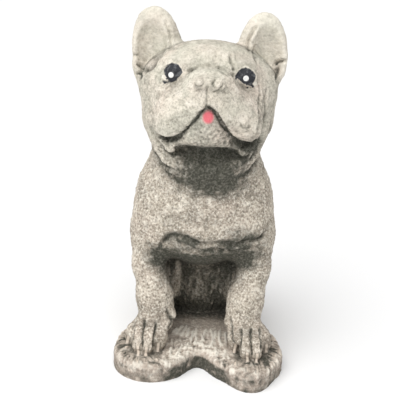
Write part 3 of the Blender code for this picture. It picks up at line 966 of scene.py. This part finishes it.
# %% Distance to the brush marks of the eyes
FAR_AWAY = 9.0
eye_paint = np.full(len(points), FAR_AWAY)
near = (from_middle < 56) & (height > 280) & (height < 318) & (y < -25)
for mark in (RIGHT_EYE, LEFT_EYE, SMEAR):
    eye_paint[near] = np.minimum(eye_paint[near], brush_distance(mark, points[near][:, (0, 2)]))
print("vertices under eye paint:", int((eye_paint < 0).sum()))

# %% [markdown]
# ## The finished mesh
# The skin is moved and thinned out by the Decimate modifier, which leaves triangles where
# there is detail. Then it is cut along the ground and closed, so that it stands flat.

# %% Move and thin out
MOST_TRIANGLES = 190000
metres += normals * (lift * MODULE)[:, None]
skin.vertices.foreach_set("co", metres.ravel())
for name, values in (("dirt_and_shade_map", dirt_and_shade_map), ("brush", eye_paint)):
    layer = skin.attributes.new(name, "FLOAT", "POINT")
    layer.data.foreach_set("value", values)
skin.update()
skin.calc_loop_triangles()
if len(skin.loop_triangles) > MOST_TRIANGLES:
    skin = reskin(skin, "DECIMATE", ratio=MOST_TRIANGLES / len(skin.loop_triangles))
print("thinned out to", len(skin.polygons), "faces")

# %% A flat underside
under = bmesh.new()
under.from_mesh(skin)
parts = bmesh.ops.bisect_plane(
    under, geom=under.verts[:] + under.edges[:] + under.faces[:], dist=1e-6,
    plane_co=(0, 0, 0), plane_no=(0, 0, -1), clear_outer=True,
)
rim_edges = [item for item in parts["geom_cut"] if isinstance(item, bmesh.types.BMEdge)]
bmesh.ops.contextual_create(under, geom=rim_edges)
bmesh.ops.recalc_face_normals(under, faces=under.faces)
under.to_mesh(skin)
under.free()
skin.shade_smooth()
skin.name = "bulldog_cast"
bulldog = put("bulldog_cast", skin)
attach(bulldog, "root")
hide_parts("bulldog_statue")
print("finished mesh:", len(skin.polygons), "faces")

# %% [markdown]
# ## The stone
# Cast stone is sand and cement: pale, matt, and never one colour. Soft clouds of cream, pink
# and a greenish grey lie over each other, and single grains are lighter or darker. All is
# worked out from the place on the statue, so it needs no image and no seams.

# %% Helpers for nodes
# This one material carries the stone's own colour and its painted shade and highlights.
stone = bpy.data.materials.new("cast_stone_with_painted_shade")
stone.use_nodes = True
tree = stone.node_tree
shader = tree.nodes["Principled BSDF"]


def add(kind, links=(), **settings):
    """A node with its settings, and links or values for its inputs, as pairs."""
    made = tree.nodes.new(kind)
    for name, value in settings.items():
        setattr(made, name, value)
    for key, value in links:
        if isinstance(value, bpy.types.NodeSocket):
            tree.links.new(value, made.inputs[key])
        else:
            made.inputs[key].default_value = value
    return made


def maths(operation, *values):
    return add("ShaderNodeMath", enumerate(values), operation=operation).outputs[0]


def mixed(share, first, second):
    links = ((0, share), (6, first), (7, second))
    return add("ShaderNodeMix", links, data_type="RGBA").outputs[2]


def ramp(value, low, high, to_low=0.0, to_high=1.0):
    links = ((0, value), (1, low), (2, high), (3, to_low), (4, to_high))
    return add("ShaderNodeMapRange", links).outputs[0]


place = add("ShaderNodeTexCoord").outputs["Object"]
side, depth, up = add("ShaderNodeSeparateXYZ", ((0, place),)).outputs


def clouds(size, detail=3.0, roughness=0.55):
    """Soft noise with spots of that size in metres."""
    links = (("Vector", place), ("Scale", 1 / size), ("Detail", detail), ("Roughness", roughness))
    return add("ShaderNodeTexNoise", links).outputs["Fac"]


print("nodes to start from:", len(tree.nodes))

# %% Colour of the stone
CREAM = (0.68, 0.62, 0.52, 1)
PINK = (0.66, 0.55, 0.47, 1)
GREEN = (0.58, 0.59, 0.49, 1)
PALE = (0.86, 0.81, 0.71, 1)
WARM = (0.46, 0.39, 0.315, 1)
DARK = (0.15, 0.13, 0.105, 1)
BASE_BROWN = (0.50, 0.415, 0.35, 1)

colour = mixed(ramp(clouds(0.055), 0.42, 0.66, 0, 0.8), CREAM, PINK)
colour = mixed(ramp(clouds(0.040), 0.62, 0.40, 0, 0.55), colour, GREEN)
colour = mixed(ramp(up, 0.255, 0.205, 0, 0.75), colour, WARM)
on_slab = ramp(up, BASE_THICKNESS + 0.004, BASE_THICKNESS - 0.001, 0, 0.75)
colour = mixed(on_slab, colour, BASE_BROWN)
mottle = clouds(0.010, 3.0, 0.6)
colour = mixed(ramp(mottle, 0.52, 0.66, 0, 0.5), colour, PALE)
colour = mixed(ramp(mottle, 0.48, 0.33, 0, 0.32), colour, DARK)
body = maths("MINIMUM", ramp(up, 0.268, 0.238, 0.6, 1.0), ramp(up, 0.021, 0.032, 0.5, 1.0))
blotch = ramp(clouds(0.026, 2.0, 0.5), 0.50, 0.34, 0, 0.35)
colour = mixed(maths("MULTIPLY", body, blotch), colour, DARK)
body = maths("MULTIPLY", body, ramp(up, 0.335, 0.315, 0.6, 1.0))
grains = clouds(0.0024, 3.0, 0.7)
colour = mixed(maths("MULTIPLY", body, ramp(grains, 0.52, 0.64, 0, 0.8)), colour, PALE)
colour = mixed(maths("MULTIPLY", body, ramp(grains, 0.48, 0.35, 0, 0.8)), colour, DARK)
print("nodes with the stone's own colour:", len(tree.nodes))

# %% [markdown]
# ## Dirt, painted shade and nails
# The dirt and painted shade follow the attribute of the mesh, which paints paler where it is
# negative: grain, nails and painted highlights. The nails are pale strips in a dark line of
# painted shade, drawn by nodes, because an attribute would blur their edges.

# %% Dirt, painted shade and nails
DIRT_AND_SHADE_COLOUR = (0.048, 0.05, 0.038, 1)
NAIL = (0.83, 0.72, 0.60, 1)
GROUND = BASE_THICKNESS / MODULE


def nail_shape(nail, width, mirror):
    """1 inside a nail's strip on the front of its toe, and 0 outside."""
    (top_x, _, high), (foot_x, _, low) = nail.start, nail.end
    slant = mirror * (top_x - foot_x) / (high - low)
    foot = (mirror * foot_x - slant * (low + GROUND)) * MODULE
    away = maths("SUBTRACT", side, maths("MULTIPLY_ADD", up, slant, foot))
    edges = (width + 0.5) * MODULE, (width - 0.4) * MODULE
    across = ramp(maths("ABSOLUTE", away), *edges)
    top = ramp(up, (high + GROUND + 0.5) * MODULE, (high + GROUND - 1.5) * MODULE)
    bottom = ramp(up, (GROUND + 0.4) * MODULE, (GROUND + 1.4) * MODULE)
    return maths("MULTIPLY", maths("MULTIPLY", across, top), bottom)


def nail_strips(width):
    strips = 0.0
    for mirror, nails in ((-1, RIGHT_NAILS), (1, LEFT_NAILS)):
        for nail in nails:
            strips = maths("MAXIMUM", strips, nail_shape(nail, width, mirror))
    return maths("MULTIPLY", strips, ramp(depth, -0.045, -0.050))


dirt_and_shade = add("ShaderNodeAttribute", attribute_name="dirt_and_shade_map").outputs["Fac"]
# Where the attribute is negative the stone is painted paler: pale grains, the nails, and painted
# highlights.
colour = mixed(ramp(dirt_and_shade, -0.02, -0.5, 0, 0.8), colour, PALE)
# Where it is positive it is painted darker: dirt and painted shade.
dirt_and_shade_share = maths("MULTIPLY", ramp(dirt_and_shade, 0.10, 0.85, 0, 0.96), ramp(grains, 0.42, 0.60, 1.0, 0.88))
colour = mixed(dirt_and_shade_share, colour, DIRT_AND_SHADE_COLOUR)
# A dark line of painted shade round each nail, and the pale nail in it.
colour = mixed(maths("MULTIPLY", nail_strips(2.9), 0.6), colour, DARK)
colour = mixed(maths("MULTIPLY", nail_strips(1.4), 0.75), colour, NAIL)
print("nodes with dirt and nails:", len(tree.nodes))

# %% [markdown]
# ## Paint
# The eyes are black paint, each with a white dot, and the tongue is a pink dab. A patch is
# an ellipse seen from the front, and noise makes its edge as uneven as a brush does.

# %% Painted patches
def patch(x, z, across, up_by, ragged=0.12, soft=0.10):
    """1 inside a painted ellipse on the front of the dog, and 0 outside."""
    middle = Vector((x, 0, z)) * MODULE + Vector(DOG_ORIGIN)
    away = add("ShaderNodeVectorMath", ((0, place), (1, middle)), operation="SUBTRACT")
    scale = (1 / (across * MODULE), 0, 1 / (up_by * MODULE))
    away = add("ShaderNodeVectorMath", ((0, away.outputs[0]), (1, scale)), operation="MULTIPLY")
    far = add("ShaderNodeVectorMath", ((0, away.outputs[0]),), operation="LENGTH")
    wobble = maths("MULTIPLY_ADD", clouds(0.003, 2.0), 2 * ragged, -ragged)
    shape = ramp(maths("ADD", far.outputs["Value"], wobble), 1 + soft, 1 - soft)
    return maths("MULTIPLY", shape, ramp(depth, -0.025, -0.030))


def both(first, second):
    return maths("MAXIMUM", first, second)


BLACK = (0.022, 0.023, 0.028, 1)
THIN_BLACK = (0.16, 0.165, 0.17, 1)
WHITE = (0.86, 0.86, 0.84, 1)
PINK_PAINT = (0.80, 0.17, 0.20, 1)
RAGGED = 1.2  # modules to each side
brush = add("ShaderNodeAttribute", attribute_name="brush").outputs["Fac"]
ragged = maths("MULTIPLY_ADD", clouds(0.0026, 2.0), 2 * RAGGED, -RAGGED)
black = ramp(maths("ADD", brush, ragged), 0.35, -0.35)
black = both(black, both(patch(-42.2, 294.9, 1.0, 0.9), patch(38.8, 289.3, 1.0, 0.9)))
dots = both(patch(-37.9, 299.3, 2.7, 2.8, 0.06), patch(36.8, 298.8, 2.8, 2.8, 0.06))
tongue = patch(0.6, 264.3, 5.2, 6.0, 0.14, 0.25)
rubbed = both(patch(-43.5, 296, 3.6, 2.8, 0.4), patch(46.2, 293, 2, 2.4, 0.5))
eye_black = mixed(ramp(clouds(0.0042, 3.0), 0.53, 0.72, 0, 0.8), BLACK, THIN_BLACK)
for share, paint in ((rubbed, PALE), (black, eye_black), (dots, WHITE), (tongue, PINK_PAINT)):
    colour = mixed(share, colour, paint)
tree.links.new(colour, shader.inputs["Base Color"])
print("nodes with the paint:", len(tree.nodes))

# %% [markdown]
# ## Surface
# Stone is rough and paint is smoother, so the roughness drops where there is paint. Sand
# finer than the mesh can carry is a bump: it tilts the light and costs no triangles.

# %% Surface of the stone
STONE_ROUGHNESS, PAINT_ROUGHNESS = 0.92, 0.4
painted = ramp(both(black, tongue), 0, 1, STONE_ROUGHNESS, PAINT_ROUGHNESS)
tree.links.new(painted, shader.inputs["Roughness"])
shader.inputs["Specular IOR Level"].default_value = 0.3
sand = clouds(0.0022, 3.0, 0.65)
pits = clouds(0.0048, 2.0, 0.5)
relief = maths("ADD", maths("MULTIPLY", sand, 0.6), maths("MULTIPLY", pits, 0.6))
bump = add("ShaderNodeBump", (("Strength", 1.0), ("Distance", 0.0022), ("Height", relief)))
tree.links.new(bump.outputs[0], shader.inputs["Normal"])
skin.materials.clear()
skin.materials.append(stone)
print("stone material with", len(tree.nodes), "nodes")

# %% [markdown]
# ## Studio
# One pale square reaches to the horizon. Daylight through thin clouds is a sun with a wide
# angle, whose shadows are soft, and a weak lamp and a pale world fill the dark side. The
# camera looks down a little and is rolled until the dog is upright.

# %% Floor
FLOOR_REACH = 200
square = ((-1, -1), (1, -1), (1, 1), (-1, 1))
floor_mesh = bpy.data.meshes.new("studio_floor")
corners = [(FLOOR_REACH * right, FLOOR_REACH * back, 0) for right, back in square]
floor_mesh.from_pydata(corners, [], [(0, 1, 2, 3)])
floor = put("studio_floor", floor_mesh)
pale = bpy.data.materials.new("pale_floor")
pale.use_nodes = True
floor_shader = pale.node_tree.nodes["Principled BSDF"]
floor_shader.inputs["Base Color"].default_value = (0.9, 0.9, 0.9, 1)
floor_shader.inputs["Roughness"].default_value = 0.9
floor_mesh.materials.append(pale)
print("floor of", 2 * FLOOR_REACH, "m")

# %% Lights
def hang(light, direction, position=(0, 0, 0)):
    """Hangs up a light that shines in a direction."""
    lamp = put(light.name, light)
    lamp.location = position
    lamp.rotation_euler = Vector(direction).to_track_quat("-Z", "Y").to_euler()


sun = bpy.data.lights.new("daylight", "SUN")
sun.energy = 3.0
sun.angle = math.radians(75)
hang(sun, (0.34, 0.66, -1.3))
fill = bpy.data.lights.new("fill", "AREA")
fill.shape = "DISK"
fill.size = 1.2
fill.energy = 4
hang(fill, (1.0, 1.5, -0.6), (-1.0, -1.5, 0.8))
world = bpy.data.worlds.new("studio")
world.use_nodes = True
sky = world.node_tree.nodes["Background"]
sky.inputs["Color"].default_value = (1, 1, 1, 1)
sky.inputs["Strength"].default_value = 0.35
bpy.context.scene.world = world
bpy.context.scene.view_settings.view_transform = "Standard"
print("lights:", [light.name for light in bpy.data.lights])

# %% Camera
CAMERA_TARGET = Vector((-0.0043, -0.005, 0.1727))
CAMERA_DISTANCE = 0.870
CAMERA_TILT = math.radians(18.4)
CAMERA_ROLL = math.radians(2.2)
lens = bpy.data.cameras.new("camera")
lens.lens = 70.2
lens.sensor_width = 36
camera = put("camera", lens)
backwards = Vector((0, -math.cos(CAMERA_TILT), math.sin(CAMERA_TILT)))
look = (-backwards).to_track_quat("-Z", "Y").to_matrix().to_4x4()
roll = Matrix.Rotation(CAMERA_ROLL, 4, "Z")
stand = Matrix.Translation(CAMERA_TARGET + backwards * CAMERA_DISTANCE)
camera.matrix_world = stand @ look @ roll
bpy.context.scene.camera = camera
print("camera", CAMERA_DISTANCE, "m from its target")
